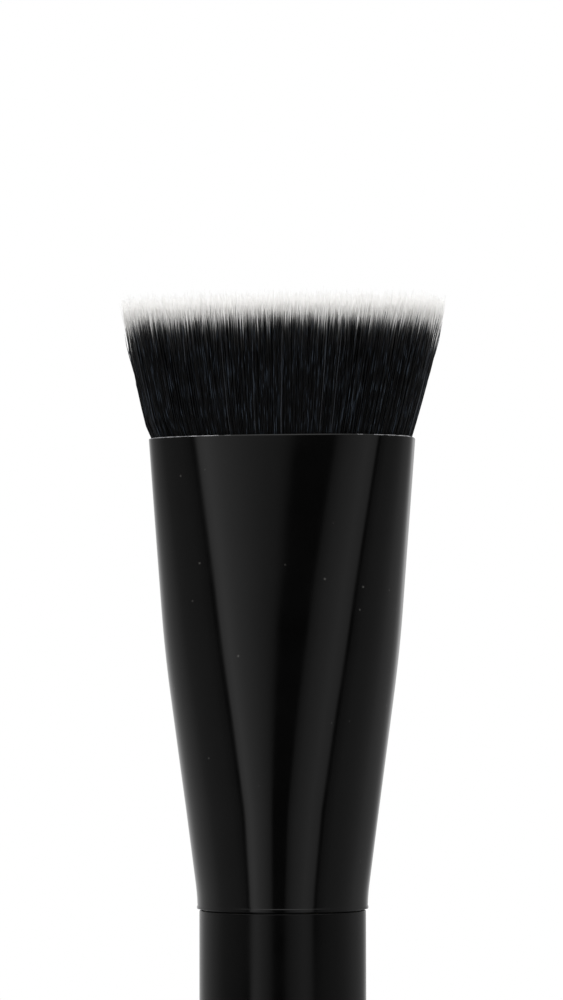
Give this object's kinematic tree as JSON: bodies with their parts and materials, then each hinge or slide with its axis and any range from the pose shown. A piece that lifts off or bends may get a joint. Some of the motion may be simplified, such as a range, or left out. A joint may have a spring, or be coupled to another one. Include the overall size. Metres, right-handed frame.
{
  "type": "contour brush",
  "caption": "Face brush with a flat-cut oval bundle of black fibres with pale tips, in a black flared ferrule on a slim turned handle.",
  "frame": {"origin": "on the handle's axis, at the lowest point of its domed butt", "axes": "+Z along the handle towards the bristles, +X across the wide face of the ferrule, +Y through its thickness, so that -Y is the wide face in the picture"},
  "size_m": [0.0277, 0.0158, 0.16],
  "materials": {
    "lacquered_wood": "black gloss lacquer on turned birch",
    "black_aluminium": "black gloss, with a bright cut rim",
    "adhesive": "dried adhesive",
    "cast_resin": "cast epoxy",
    "thread": "waxed polyester thread",
    "fibres": "black synthetic fibres, some with pale tips"
  },
  "bodies": {
    "root": {"handle": "lacquered_wood", "ferrule": "black_aluminium", "ferrule_glue": "adhesive", "epoxy_plug": "cast_resin", "root_binding": "thread", "bristle_bundle": "fibres"}
  },
  "joints": []
}
